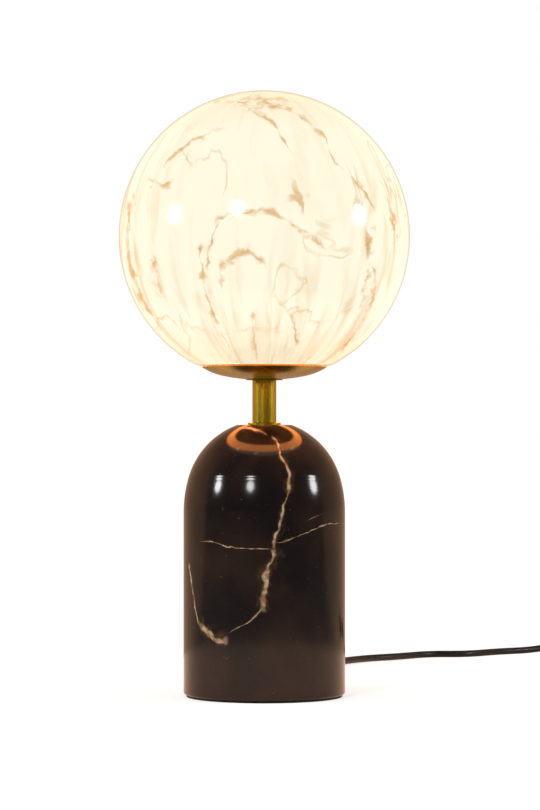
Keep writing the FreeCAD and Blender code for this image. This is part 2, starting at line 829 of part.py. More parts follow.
def tangent_arc(start, heading, end, backwards=False):
    """The arc that leaves start along heading and passes through end."""
    chord = end - start
    along = chord * (1 / chord.Length)
    aside = heading - along * heading.dot(along)
    if aside.Length < 1e-9:
        return line(end, start) if backwards else line(start, end)
    angle = heading.getAngle(along)
    middle = (start + end) * 0.5 + aside.normalize() * (chord.Length / 2 * math.tan(angle / 2))
    return arc(end, middle, start) if backwards else arc(start, middle, end)


def coil_route():
    """The wound lead's path: in from the switch, spiral in, climb, spiral out, down to the plug."""
    pitch = 2 * lead_radius + lead_gap
    layer = 2 * lead_radius + lead_gap
    radii = [coil_inner_radius + pitch / 2 * step for step in range(coil_turns_in, 0, -1)]
    climb_index = len(radii)
    radii += [coil_inner_radius + pitch / 2 * step for step in range(coil_turns_out + 1)]
    straight = Vector(2 * lead_radius, 0, 0)
    low = Vector(switch_end.x + coil_lead_in, switch_end.y, floor_height)
    landing = Vector(switch_end.x + straight.x + coil_drop_length, switch_end.y, floor_height)
    edges = [line(switch_end, switch_end + straight)]
    edges += biarc(switch_end + straight, RIGHT, landing, RIGHT)
    edges.append(line(landing, low))
    place = low
    heading = RIGHT
    for index, radius in enumerate(radii):
        right = Vector(heading.y, -heading.x, 0)
        climb = layer if index == climb_index else 0
        centre = place + right * radius
        half_way = centre + heading * radius + UP * (climb / 2)
        end = centre + right * radius + UP * climb
        slope = 2 * climb / (math.pi * radius)
        middle_heading = (right + UP * slope).normalize()
        edges += biarc(place, heading, half_way, middle_heading)
        edges += biarc(half_way, middle_heading, end, heading * -1)
        place = end
        heading = heading * -1
    plug_centre_z = plug_height / 2
    last = Vector(place.x + coil_lead_out, place.y, plug_centre_z)
    edges += biarc(place, heading, last, RIGHT)
    edges.append(line(last, last + straight))
    return edges, last + straight


def least_self_gap(edges):
    """Least space between parts of the wound lead that aren't next to each other along it."""
    points = []
    travelled = 0.0
    for edge in edges:
        count = max(2, int(edge.Length / 1.5))
        for index in range(count):
            share = index / count
            span = edge.LastParameter - edge.FirstParameter
            points.append((travelled + edge.Length * share, edge.valueAt(edge.FirstParameter + span * share)))
        travelled += edge.Length
    skip = 8 * lead_radius
    return min(
        (a - b).Length for i, (s, a) in enumerate(points) for t, b in points[i + 1:] if t - s > skip
    ) - 2 * lead_radius


# ---- plug ----
def rounded_section(x, y, z, width, height):
    """A stadium-like section across X, flat sides joined by half rounds."""
    radius = height / 2 - 0.01
    flat = width / 2 - radius
    side = height / 2 - radius
    corners = [
        (flat, -side - radius, flat + radius * 0.7071, -side - radius * 0.7071, flat + radius, -side),
        (flat + radius, side, flat + radius * 0.7071, side + radius * 0.7071, flat, side + radius),
        (-flat, side + radius, -flat - radius * 0.7071, side + radius * 0.7071, -flat - radius, side),
        (-flat - radius, -side, -flat - radius * 0.7071, -side - radius * 0.7071, -flat, -side - radius),
    ]
    edges = []
    for index, corner in enumerate(corners):
        a, b, c = [Vector(x, y + corner[i], z + corner[i + 1]) for i in (0, 2, 4)]
        following = corners[(index + 1) % 4]
        edges.append(arc(a, b, c))
        edges.append(line(c, Vector(x, y + following[0], z + following[1])))
    return Part.Wire(edges)


def make_plug_body(entry):
    """Flat moulded plug: a flared body drawn in to a ribbed relief, with a sleeve on each pin."""
    y, z = entry.y, plug_height / 2
    neck_x = entry.x + plug_relief_length
    face_x = neck_x + plug_length
    body = Part.makeLoft([
        rounded_section(neck_x, y, z, plug_neck_width, plug_height * 0.68),
        rounded_section(neck_x + plug_length * 0.3, y, z, plug_width * 0.66, plug_height * 0.84),
        rounded_section(neck_x + plug_length * 0.65, y, z, plug_width * 0.95, plug_height),
        rounded_section(face_x, y, z, plug_width, plug_height),
    ], True, False)
    tail = Part.makeCone(plug_relief_radius, plug_height * 0.32, plug_relief_length, Vector(entry.x, y, z), RIGHT)
    body = body.fuse(tail)
    for side in (-1, 1):
        start = Vector(face_x, y + side * pin_spacing / 2, z)
        body = body.fuse(Part.makeCylinder(pin_sleeve_radius, pin_sleeve_length, start, RIGHT))
        core_start = start - RIGHT * pin_sleeve_length
        body = body.cut(Part.makeCylinder(pin_core_radius, 2 * pin_sleeve_length, core_start, RIGHT))
    return body.removeSplitter(), face_x


def make_plug_pins(entry, face_x):
    """Two round pins, each a core in the body and a full-size tip beyond its sleeve."""
    pins = []
    for side in (-1, 1):
        start = Vector(face_x, entry.y + side * pin_spacing / 2, plug_height / 2)
        core = Part.makeCylinder(pin_core_radius, 2 * pin_sleeve_length, start - RIGHT * pin_sleeve_length, RIGHT)
        tip = Part.makeCylinder(pin_radius, pin_length - pin_sleeve_length, start + RIGHT * pin_sleeve_length, RIGHT)
        end = [edge for edge in tip.Edges if edge.BoundBox.XMin > face_x + pin_length - 1e-3]
        pins.append(core.fuse(tip.makeFillet(pin_radius * 0.4, end)).removeSplitter())
    return Part.makeCompound(pins)


# ---- write every piece ----
def main():
    os.makedirs("parts", exist_ok=True)
    free_lead, free_radii, free_length = tube_along(free_points, lead_radius)
    coil_edges, plug_entry = coil_route()
    coil = pipe(coil_edges, lead_radius)
    coil_length = sum(edge.Length for edge in coil_edges)
    switch_base, switch_cover = make_switch_halves()
    plug_body, plug_face_x = make_plug_body(plug_entry)
    pieces = {
        "base_stone": make_base_stone(),
        "base_pad": make_base_pad(),
        "threaded_rod": make_threaded_rod(),
        "rod_washer": make_rod_washer(),
        "rod_nut": hex_nut(rod_nut_z),
        "foot_flange": make_foot_flange(),
        "stem_tube": make_stem_tube(),
        "stem_bush": make_stem_bush(),
        "dish": make_dish(),
        "clip_plate": make_clip_plate(),
        "clip_rivets": Part.makeCompound(
            [around(make_clip_rivet(), index, clip_count) for index in range(clip_count)]
        ),
        "dish_washer": ring(dish_washer_radius, rod_radius + running_gap, washer_z, washer_thickness),
        "dish_nut": hex_nut(dish_nut_z),
        "globe_gasket": make_globe_gasket(),
        "globe": make_globe(),
        "holder_cap": make_holder_cap(),
        "holder_grub_screw": make_holder_grub_screw(),
        "holder_insert": make_holder_insert(),
        "terminal_screws": make_terminal_screws(),
        "holder_shell": make_holder_shell(),
        "holder_sleeve": make_holder_sleeve(),
        "holder_contact": make_holder_contact(),
        "lead_wires": make_lead_wires(),
        "bulb_contact": make_bulb_contact(),
        "bulb_insulator": make_bulb_insulator(),
        "bulb_cap": make_bulb_cap(),
        "bulb_housing": make_bulb_housing(),
        "bulb_led_board": make_bulb_led_board(),
        "bulb_dome": make_bulb_dome(),
        "lead_inside": make_lead_inside(),
        "cord_relief": make_cord_relief(),
        "cord_stop": make_cord_stop(),
        "lead_free": free_lead,
        "switch_base": switch_base,
        "switch_cover": switch_cover,
        "switch_rocker": make_switch_rocker(),
        "switch_screws": Part.makeCompound(switch_screw_cuts(0)),
        "lead_coil": coil,
        "plug_body": plug_body,
        "plug_pins": make_plug_pins(plug_entry, plug_face_x),
    }
    for index in range(clip_count):
        pieces["clip_%d" % (index + 1)] = around(make_clip(), index, clip_count)
    for name, shape in pieces.items():
        shape.exportStep("parts/%s.step" % name)
        if not shape.isValid() or shape.Volume <= 0:
            print("check", name, shape.ShapeType, shape.isValid(), round(shape.Volume, 2))
    section = math.pi * lead_radius ** 2
    print("free lead arcs, mm:", [round(radius, 1) for radius in free_radii])
    print("free lead volume ratio:", round(free_lead.Volume / (section * free_length), 4))
    print("wound lead volume ratio:", round(coil.Volume / (section * coil_length), 4))
    print("wound lead least gap to itself, mm:", round(least_self_gap(coil_edges), 2))
    print("lead, relief to plug, mm:", round(free_length + switch_length + coil_length, 1))
    print("rim, underside, centre, top:", [round(z, 2) for z in (
        dish_rim_z(), globe_underside_z, globe_centre_z, globe_centre_z + globe_radius)])
    print("pieces:", len(pieces), "solids:", sum(len(shape.Solids) for shape in pieces.values()))


main()
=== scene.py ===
"""Glass globe table lamp, dressed for a picture.

A lit marbled glass globe on a brass dish and stem over a polished stone base, with its lead on the floor.
"""

import math
import bmesh
import bpy
from mathutils import Matrix, Vector


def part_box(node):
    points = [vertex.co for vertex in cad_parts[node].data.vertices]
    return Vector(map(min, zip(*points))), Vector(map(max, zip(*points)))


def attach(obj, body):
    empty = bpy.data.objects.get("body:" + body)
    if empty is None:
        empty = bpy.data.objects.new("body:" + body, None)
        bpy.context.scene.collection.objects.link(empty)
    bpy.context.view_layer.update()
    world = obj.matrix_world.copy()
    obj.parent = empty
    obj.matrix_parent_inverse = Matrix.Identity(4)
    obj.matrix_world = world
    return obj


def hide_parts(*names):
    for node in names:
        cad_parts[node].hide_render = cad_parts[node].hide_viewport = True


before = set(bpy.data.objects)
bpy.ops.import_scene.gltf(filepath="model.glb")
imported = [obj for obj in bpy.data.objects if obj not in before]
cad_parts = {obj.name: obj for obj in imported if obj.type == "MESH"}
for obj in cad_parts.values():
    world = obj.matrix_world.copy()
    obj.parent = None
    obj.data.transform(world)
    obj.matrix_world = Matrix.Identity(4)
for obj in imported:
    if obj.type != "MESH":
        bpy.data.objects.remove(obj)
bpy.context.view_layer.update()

# ---- camera ----
# A long lens about two metres in front of the lamp and nearly level with its middle, so that the upright forms
# show hardly any perspective.
camera_place = (0.0039, -1.96, 0.176)
camera_tilt = 90.7036
camera_lens = 126.7
sensor_width = 36
camera = bpy.data.objects.new("camera", bpy.data.cameras.new("camera"))
camera.data.lens = camera_lens
camera.data.sensor_width = sensor_width
camera.data.dof.use_dof = False
camera.location = camera_place
camera.rotation_euler = (math.radians(camera_tilt), 0, 0)
bpy.context.scene.collection.objects.link(camera)
bpy.context.scene.camera = camera
bpy.context.scene.view_settings.view_transform = "Standard"

# ---- studio ----
# A pale room: white to the camera. In reflections it is warm behind the lamp and dim in front, as a dark room
# before a lit backdrop, and the floor is pale round the lamp, where it glows with a painted orange pool of the
# lamp's light.
room_light = 0.42
gloss_front = (0.13, 0.1, 0.09, 1)
gloss_behind = (0.62, 0.36, 0.22, 1)
painted_glow_near = (0.75, 0.33, 0.13, 1)
white = (1, 1, 1, 1)
floor_near = (0.82, 0.8, 0.77, 1)
floor_far = (0.14, 0.11, 0.09, 1)
floor_pale_radius = 0.33
floor_fade_radius = floor_pale_radius * 1.12
floor_half = 30
floor_lift_near = 0.55
floor_lift_far = 0.97


def put(tree, source, target):
    """Link a socket, or set a plain value."""
    if isinstance(source, bpy.types.NodeSocket):
        tree.links.new(source, target)
    else:
        target.default_value = source


def sums(tree, operation, *values):
    """A Math node over sockets or numbers."""
    node = tree.nodes.new("ShaderNodeMath")
    node.operation = operation
    for value, target in zip(values, node.inputs):
        put(tree, value, target)
    return node.outputs["Value"]


def ranged(tree, value, start, end, low=0.0, high=1.0, smooth=False):
    """Map a value from start..end to low..high, clamped."""
    node = tree.nodes.new("ShaderNodeMapRange")
    if smooth:
        node.interpolation_type = "SMOOTHSTEP"
    settings = {"Value": value, "From Min": start, "From Max": end, "To Min": low, "To Max": high}
    for label, source in settings.items():
        put(tree, source, node.inputs[label])
    return node.outputs["Result"]


# The colour sockets of a Mix node, which share their names with its other sockets.
mix_factor, mix_first, mix_second, mix_result = 0, 6, 7, 2


def mixed(tree, mask, first, second):
    """Two colours mixed by a mask."""
    node = tree.nodes.new("ShaderNodeMix")
    node.data_type = "RGBA"
    put(tree, mask, node.inputs[mix_factor])
    put(tree, first, node.inputs[mix_first])
    put(tree, second, node.inputs[mix_second])
    return node.outputs[mix_result]


world = bpy.data.worlds.new("room")
bpy.context.scene.world = world
world.use_nodes = True
room = world.node_tree
rays = room.nodes.new("ShaderNodeLightPath").outputs
heading = room.nodes.new("ShaderNodeSeparateXYZ")
put(room, room.nodes.new("ShaderNodeTexCoord").outputs["Generated"], heading.inputs["Vector"])
room_back = ranged(room, heading.outputs["Y"], -0.05, 0.12)
room_low = ranged(room, heading.outputs["Z"], 0.35, 0.8, 1.0, 0.15)
backdrop = sums(room, "MULTIPLY", room_back, room_low)
seen = sums(room, "MAXIMUM", rays["Is Camera Ray"], rays["Is Transmission Ray"])
in_gloss = mixed(room, rays["Is Glossy Ray"], white, mixed(room, backdrop, gloss_front, gloss_behind))
put(room, mixed(room, seen, in_gloss, white), room.nodes["Background"].inputs["Color"])
brightness = sums(room, "MAXIMUM", sums(room, "MAXIMUM", seen, rays["Is Glossy Ray"]), room_light)
put(room, brightness, room.nodes["Background"].inputs["Strength"])

ground = bmesh.new()
bmesh.ops.create_grid(ground, x_segments=1, y_segments=1, size=floor_half)
ground_mesh = bpy.data.meshes.new("floor")
ground.to_mesh(ground_mesh)
ground.free()
floor = bpy.data.objects.new("floor", ground_mesh)
bpy.context.scene.collection.objects.link(floor)
floor_paint = bpy.data.materials.new("floor")
floor_paint.use_nodes = True
floor_tree = floor_paint.node_tree
floor_shader = floor_tree.nodes["Principled BSDF"]
floor_shader.inputs["Roughness"].default_value = 0.9
floor_shader.inputs["Specular IOR Level"].default_value = 0.1
floor_distance = floor_tree.nodes.new("ShaderNodeVectorMath")
floor_distance.operation = "LENGTH"
put(floor_tree, floor_tree.nodes.new("ShaderNodeTexCoord").outputs["Object"], floor_distance.inputs[0])
far_off = ranged(floor_tree, floor_distance.outputs["Value"], floor_pale_radius, floor_fade_radius, smooth=True)
put(floor_tree, mixed(floor_tree, far_off, floor_near, floor_far), floor_shader.inputs["Base Color"])
floor_place = floor_tree.nodes.new("ShaderNodeSeparateXYZ")
put(floor_tree, floor_tree.nodes.new("ShaderNodeTexCoord").outputs["Object"], floor_place.inputs["Vector"])
behind_lamp = ranged(floor_tree, floor_place.outputs["Y"], 0.0, 0.25, smooth=True)
floor_rays = floor_tree.nodes.new("ShaderNodeLightPath").outputs
# Seen in reflections the floor glows: a painted orange pool of the lamp's light round it, the room's colours
# further off.
far_gloss = mixed(floor_tree, behind_lamp, gloss_front, gloss_behind)
floor_gloss = mixed(floor_tree, far_off, painted_glow_near, far_gloss)
floor_glow = mixed(floor_tree, floor_rays["Is Camera Ray"], floor_gloss, white)
put(floor_tree, floor_glow, floor_shader.inputs["Emission Color"])
floor_lift = ranged(floor_tree, far_off, 0.0, 1.0, floor_lift_near, floor_lift_far)
floor_camera = sums(floor_tree, "MULTIPLY", floor_rays["Is Camera Ray"], floor_lift)
floor_power = sums(floor_tree, "MAXIMUM", floor_camera, floor_rays["Is Glossy Ray"])
put(floor_tree, floor_power, floor_shader.inputs["Emission Strength"])
floor.data.materials.append(floor_paint)

# Three round softboxes for the highlights: the way to each from the lamp, its size in metres and its watts.
lamp_middle = (0, 0, 0.15)
softboxes = {
    "softbox_left": ((-0.92, -0.28, 0.32), 0.26, 6.0),
    "softbox_front": ((-0.32, -0.84, 0.38), 0.26, 5.0),
    "softbox_right": ((0.94, -0.19, 0.31), 0.3, 6.5),
}
softbox_distance = 1.5
for name, (direction, size, power) in softboxes.items():
    light = bpy.data.lights.new(name, "AREA")
    light.shape = "DISK"
    light.size = size
    light.energy = power
    softbox = bpy.data.objects.new(name, light)
    back = Vector(direction).normalized()
    softbox.location = Vector(lamp_middle) + back * softbox_distance
    softbox.rotation_euler = back.to_track_quat("Z", "Y").to_euler()
    bpy.context.scene.collection.objects.link(softbox)


# ---- shared shading ----
# Every finish is a Principled shader. Soft noise over the piece's own coordinates, in millimetres, moves its
# colour and its roughness.
per_metre = 1000


def finish_of(name, values):
    """A new material with these values set on its Principled shader."""
    material = bpy.data.materials.new(name)
    material.use_nodes = True
    shader = material.node_tree.nodes["Principled BSDF"]
    for socket, value in values.items():
        shader.inputs[socket].default_value = value
    return material, material.node_tree, shader


def new_group(name, inputs, outputs):
    """An empty shader node group with its sockets."""
    group = bpy.data.node_groups.new(name, "ShaderNodeTree")
    for label, kind, value in inputs:
        group.interface.new_socket(name=label, in_out="INPUT", socket_type=kind).default_value = value
    for label, kind in outputs:
        group.interface.new_socket(name=label, in_out="OUTPUT", socket_type=kind)
    return group, group.nodes.new("NodeGroupInput").outputs, group.nodes.new("NodeGroupOutput").inputs


def noise(tree, place, scale, detail=4.0, distortion=0.0):
    """A noise value at a place."""
    node = tree.nodes.new("ShaderNodeTexNoise")
    put(tree, place, node.inputs["Vector"])
    put(tree, scale, node.inputs["Scale"])
    node.inputs["Detail"].default_value = detail
    node.inputs["Distortion"].default_value = distortion
    return node.outputs["Fac"]


def stretched(tree, place, factors):
    """A place multiplied on each axis."""
    node = tree.nodes.new("ShaderNodeVectorMath")
    node.operation = "MULTIPLY"
    put(tree, place, node.inputs[0])
    put(tree, factors, node.inputs[1])
    return node.outputs["Vector"]


def place_mm(tree):
    """The piece's own coordinates in millimetres."""
    coordinates = tree.nodes.new("ShaderNodeTexCoord")
    return stretched(tree, coordinates.outputs["Object"], (per_metre, per_metre, per_metre))


mottle_group, mottle_in, mottle_out = new_group(
    "mottle",
    (("Stretch", "NodeSocketVector", (1, 1, 1)), ("Scale", "NodeSocketFloat", 0.05),
     ("Low", "NodeSocketFloat", 0.35), ("High", "NodeSocketFloat", 0.65)),
    (("Mask", "NodeSocketFloat"),),
)
mottle_place = stretched(mottle_group, place_mm(mottle_group), mottle_in["Stretch"])
mottle_value = noise(mottle_group, mottle_place, mottle_in["Scale"], detail=5.0, distortion=0.3)
mottle_mask = ranged(mottle_group, mottle_value, mottle_in["Low"], mottle_in["High"], smooth=True)
put(mottle_group, mottle_mask, mottle_out["Mask"])


def mottle(tree, scale, low=0.35, high=0.65, stretch=(1, 1, 1)):
    """The shared noise mask, with its scale per millimetre."""
    node = tree.nodes.new("ShaderNodeGroup")
    node.node_tree = mottle_group
    for label, value in (("Stretch", stretch), ("Scale", scale), ("Low", low), ("High", high)):
        node.inputs[label].default_value = value
    return node.outputs["Mask"]


def roughened(tree, shader, mask, low, high, bump=0.0, depth=0.0001):
    """Roughness that follows a mask, and a slight relief where one is asked for."""
    put(tree, ranged(tree, mask, 0.0, 1.0, low, high), shader.inputs["Roughness"])
    if bump:
        node = tree.nodes.new("ShaderNodeBump")
        node.inputs["Strength"].default_value = bump
        node.inputs["Distance"].default_value = depth
        put(tree, mask, node.inputs["Height"])
        put(tree, node.outputs["Normal"], shader.inputs["Normal"])


def plain_finish(name, light, dark, roughness, scale, values=None, bump=0.0):
    """A finish of two near shades, with its roughness in the same mottling."""
    material, tree, shader = finish_of(name, values or {})
    mask = mottle(tree, scale)
    put(tree, mixed(tree, mask, dark, light), shader.inputs["Base Color"])
    roughened(tree, shader, mask, roughness[0], roughness[1], bump)
    return material


def dress(material, *nodes):
    """Give CAD pieces a finish."""
    for name in nodes:
        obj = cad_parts[name]
        if not obj.material_slots:
            obj.data.materials.append(material)
        for held in obj.material_slots:
            held.material = material


# ---- stone base ----
# One block of dark polished marble, turned to a tall drum with a domed top, bored for the threaded tube and
# hollowed below for the nut. Cream and tan veins wander over its front.
mm = 0.001
stone_radius = 55.5
stone_bottom = 1.5
stone_top = 186.3
foot_round = 2.0
recess_radius = 30.0
recess_top = 45.5
stone_bore = 6.0
shoulder = {"radius": 85.0, "x": -29.5, "z": 126.6}
crown = {"radius": 54.2, "x": 0.0, "z": 135.5}
crown_join = 16.7
crown_land = 18.9
crown_end = math.degrees(math.acos(crown_land / crown["radius"]))


def bow(x, z, radius, start, end, steps):
    """Points on an arc of a profile, by its centre, its radius and two angles in degrees."""
    angles = [math.radians(start + (end - start) * step / steps) for step in range(steps + 1)]
    return [(x + radius * math.cos(angle), z + radius * math.sin(angle)) for angle in angles]


def finished(name, shape, sharp, material, slot, body, *replaced):
    """Close up a mesh, shade it, attach it to its body and hide the CAD nodes it stands in for."""
    bmesh.ops.remove_doubles(shape, verts=shape.verts, dist=1e-6)
    bmesh.ops.recalc_face_normals(shape, faces=shape.faces)
    mesh = bpy.data.meshes.new(name)
    shape.to_mesh(mesh)
    shape.free()
    mesh.shade_smooth()
    mesh.set_sharp_from_angle(angle=math.radians(sharp))
    mesh.materials.append(material)
    obj = bpy.data.objects.new(name, mesh)
    bpy.context.scene.collection.objects.link(obj)
    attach(obj, body)
    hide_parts(*replaced)
    return obj


def spun(profile, closed=True, steps=192):
    """A turned form: a profile of radius and height in millimetres, spun about the lamp's axis."""
    shape = bmesh.new()
    points = [shape.verts.new((radius * mm, 0, height * mm)) for radius, height in profile]
    following = points[1:] + points[:1] if closed else points[1:]
    for first, second in zip(points, following):
        shape.edges.new((first, second))
    bmesh.ops.spin(
        shape, geom=shape.verts[:] + shape.edges[:], cent=(0, 0, 0), axis=(0, 0, 1),
        angle=math.tau, steps=steps, use_merge=True,
    )
    return shape


vein_numbers = {"Across": 0.0, "Centre": 0.0, "Along": 0.0, "Low": 0.0, "High": 1.0, "Width": 1.0,
                "Wobble": 1.0}
vein_group, vein_in, vein_out = new_group(
    "vein",
    [("Place", "NodeSocketVector", (0, 0, 0))]
    + [(label, "NodeSocketFloat", number) for label, number in vein_numbers.items()],
    (("Core", "NodeSocketFloat"), ("Edge", "NodeSocketFloat")),
)
# Two noises bend a vein and swell it. Its core and its soft edge are bands of the distance from its line, counted
# in widths, and both fade out over the last millimetres of the run.
vein_fade = 6.0
vein_bands = {"Core": (0.25, 1.05), "Edge": (0.8, 2.8)}
vein_wander = sums(vein_group, "SUBTRACT", noise(vein_group, vein_in["Place"], 0.16, 6.0), 0.5)
vein_shake = sums(vein_group, "MULTIPLY", vein_wander, vein_in["Wobble"])
vein_offset = sums(vein_group, "SUBTRACT", vein_in["Across"], vein_in["Centre"])
vein_distance = sums(vein_group, "ABSOLUTE", sums(vein_group, "ADD", vein_offset, vein_shake))
vein_swell = ranged(vein_group, noise(vein_group, vein_in["Place"], 0.11, 3.0), 0.3, 0.7, 0.25, 1.7)
vein_reach = sums(vein_group, "MULTIPLY", vein_in["Width"], vein_swell)
vein_share = sums(vein_group, "DIVIDE", vein_distance, vein_reach)
vein_gone = sums(vein_group, "SUBTRACT", vein_in["Along"], vein_in["Low"])
vein_left = sums(vein_group, "SUBTRACT", vein_in["High"], vein_in["Along"])
vein_start = ranged(vein_group, vein_gone, 0.0, vein_fade, smooth=True)
vein_end = ranged(vein_group, vein_left, 0.0, vein_fade, smooth=True)
vein_span = sums(vein_group, "MULTIPLY", vein_start, vein_end)
for vein_label, (vein_inner, vein_outer) in vein_bands.items():
    vein_band = ranged(vein_group, vein_share, vein_inner, vein_outer, 1.0, 0.0, smooth=True)
    put(vein_group, sums(vein_group, "MULTIPLY", vein_band, vein_span), vein_out[vein_label])


def vein(tree, place, along, across, points, width, wobble):
    """The core and the soft edge of one vein, drawn through points (along, across) in millimetres."""
    points = sorted(points)
    low, high = points[0][0], points[-1][0]
    left = min(point[1] for point in points) - 1
    right = max(point[1] for point in points) + 1
    curve = tree.nodes.new("ShaderNodeFloatCurve")
    line = curve.mapping.curves[0].points
    spots = [((x - low) / (high - low), (y - left) / (right - left)) for x, y in points]
    line[0].location = spots[0]
    line[1].location = spots[-1]
    for spot in spots[1:-1]:
        line.new(*spot)
    curve.mapping.update()
    put(tree, ranged(tree, along, low, high), curve.inputs["Value"])
    node = tree.nodes.new("ShaderNodeGroup")
    node.node_tree = vein_group
    centre = ranged(tree, curve.outputs["Value"], 0.0, 1.0, left, right)
    settings = {"Place": place, "Across": across, "Centre": centre, "Along": along, "Low": low, "High": high,
                "Width": width, "Wobble": wobble}
    for label, value in settings.items():
        put(tree, value, node.inputs[label])
    return node.outputs["Core"], node.outputs["Edge"]


def strongest(tree, values):
    """The largest of several masks."""
    result = values[0]
    for value in values[1:]:
        result = sums(tree, "MAXIMUM", result, value)
    return result


def split(tree, place):
    """A place's X, Y and Z."""
    node = tree.nodes.new("ShaderNodeSeparateXYZ")
    put(tree, place, node.inputs["Vector"])
    return node.outputs["X"], node.outputs["Y"], node.outputs["Z"]


def traced(tree, place, across, up, veins, shown):
    """The veins of a table where a mask shows them: their cores and their soft edges, as two masks."""
    axes = {"up": (up, across), "across": (across, up)}
    drawn = [vein(tree, place, *axes[way], points, width, wobble) for way, points, width, wobble in veins]
    cores = sums(tree, "MULTIPLY", strongest(tree, [core for core, edge in drawn]), shown)
    edges = sums(tree, "MULTIPLY", strongest(tree, [edge for core, edge in drawn]), shown)
    return cores, edges


def ridge(tree, place, width, scale, detail, distortion, smooth=False):
    """A thin winding line, where the noise passes its middle value."""
    middle = sums(tree, "SUBTRACT", noise(tree, place, scale, detail, distortion), 0.5)
    return ranged(tree, sums(tree, "ABSOLUTE", middle), 0.0, width, 1.0, 0.0, smooth)


stone_dark = (0.008, 0.0058, 0.006, 1)
stone_cloud = (0.026, 0.0145, 0.01, 1)
stone_fleck = (0.2, 0.12, 0.06, 1)
vein_cream = (0.56, 0.43, 0.27, 1)
vein_tan = (0.3, 0.16, 0.07, 1)
vein_brown = (0.075, 0.036, 0.017, 1)

# Each vein: the way it runs, its points (along, across) in millimetres, its width and how far it wanders.
stone_veins = [
    ("up", [(180, 1.1), (174, 8.5), (164.6, 11.2), (153.9, 16.5), (143.9, 16.5), (131.8, 13.2),
            (117.1, 10.5), (112.5, 7.5), (100.5, 6.3)], 1.25, 4.5),
    ("up", [(105, 6.8), (96, 5.2), (90.4, 2.8), (78.4, 1.1), (60, -0.4)], 2.3, 5.0),
    ("up", [(66, 0.0), (55.6, -8.9), (49.4, -19.6), (45.9, -25.0)], 0.7, 4.0),
    ("across", [(-46, 55.5), (-41.5, 50.0), (-36, 44.5), (-30.5, 41.5), (-23, 41.5)], 2.6, 5.0),
    ("up", [(50, -44), (60.2, -46.3), (70.2, -47.7), (82.2, -49.8), (93.6, -51.3)], 0.5, 2.0),
    ("across", [(-19.6, 184.0), (-10.9, 184.0), (-4.9, 182.7), (3.0, 179.0)], 0.8, 2.0),
    ("across", [(-44.9, 107.0), (-37.2, 108.0), (-26.7, 104.9), (-17.6, 103.7), (-8.2, 103.1),
                (7.0, 103.8)], 0.3, 3.0),
    ("across", [(7.0, 107.0), (17.2, 109.7), (22.9, 111.7), (34.4, 116.1), (45.1, 119.5),
                (53.0, 119.0)], 0.34, 3.5),
    ("across", [(27.0, 120.3), (33.0, 124.0), (40.0, 126.1)], 0.26, 2.0),
]

stone_paint, tree, shader = finish_of("polished_stone", {"Specular IOR Level": 0.3, "Metallic": 0.0})
place = place_mm(tree)
x, y, z = split(tree, place)
front = ranged(tree, y, -6.0, 4.0, 1.0, 0.0)
cores, edges = traced(tree, place, x, z, stone_veins, front)
behind = ridge(tree, place, 0.012, scale=0.011, detail=5.0, distortion=1.6)
cores = sums(tree, "MAXIMUM", cores, sums(tree, "MULTIPLY", behind, ranged(tree, y, 0.0, 10.0)))
clouds = mottle(tree, 0.02, 0.4, 0.72)
flecks = mottle(tree, 0.35, 0.68, 0.75)
ground_colour = mixed(tree, clouds, stone_dark, stone_cloud)
ground_colour = mixed(tree, sums(tree, "MULTIPLY", flecks, 0.4), ground_colour, stone_fleck)
vein_colour = mixed(tree, mottle(tree, 0.22, 0.4, 0.6), vein_tan, vein_cream)
colour = mixed(tree, sums(tree, "MULTIPLY", edges, mottle(tree, 0.15, 0.3, 0.7)), ground_colour, vein_brown)
put(tree, mixed(tree, cores, colour, vein_colour), shader.inputs["Base Color"])
put(tree, ranged(tree, cores, 0.0, 1.0, 0.13, 0.24), shader.inputs["Roughness"])

stone_profile = (
    [(stone_bore, recess_top), (recess_radius, recess_top), (recess_radius, stone_bottom)]
    + bow(stone_radius - foot_round, stone_bottom + foot_round, foot_round, -90, 0, 8)
    + bow(shoulder["x"], shoulder["z"], shoulder["radius"], 0, crown_join, 12)
    + bow(crown["x"], crown["z"], crown["radius"], crown_join, crown_end, 32)
    + [(crown_land, stone_top), (stone_bore, stone_top)]
)
finished("stone", spun(stone_profile), 30, stone_paint, "stone", "lamp", "base_stone")

# The felt disc under it keeps the stone off the table and closes the recess.
felt = plain_finish("felt", (0.02, 0.019, 0.018, 1), (0.009, 0.008, 0.008, 1), (0.85, 1.0), 1.2,
                    {"Specular IOR Level": 0.15, "Sheen Weight": 0.3}, bump=0.4)
pad_radius = 53.5
pad_edge = 0.3
pad_profile = [(0, 0), (pad_radius - pad_edge, 0), (pad_radius, pad_edge), (pad_radius, stone_bottom),
               (0, stone_bottom)]
pad_shape = spun(pad_profile, closed=False)
finished("felt_pad", pad_shape, 40, felt, "felt", "lamp", "base_pad")

# ---- threaded tube, washer and nuts ----
# A zinc-plated hollow tube ties the base, stem, dish and lamp holder together with washers and plain hexagon
# nuts. The spring clips for the glass, their plate and rivets, and the small screws have the same finish.
steel = plain_finish("plated_steel", (0.5, 0.49, 0.46, 1), (0.3, 0.29, 0.27, 1), 
                     (0.25, 0.45), 0.3, {"Metallic": 1.0})
dress(steel, "threaded_rod", "rod_washer", "rod_nut", "clip_plate", "clip_rivets", "clip_1", "clip_2", "clip_3",
      "dish_washer", "dish_nut", "terminal_screws", "holder_grub_screw", "switch_screws")

# ---- brass stem and foot flange ----
# Lacquered brass tube, brushed lengthwise and darkened with age. It stands over the spigot of a small turned
# collar, and a bush centres its upper end on the threaded tube.
brass_light = (0.52, 0.42, 0.035, 1)
brass_dark = (0.45, 0.36, 0.028, 1)
# The dish takes a darker copy of the same brass: painted shade for its downward face under the globe.
brass_shaded_light = (0.33, 0.235, 0.026, 1)
brass_shaded_dark = (0.28, 0.195, 0.02, 1)


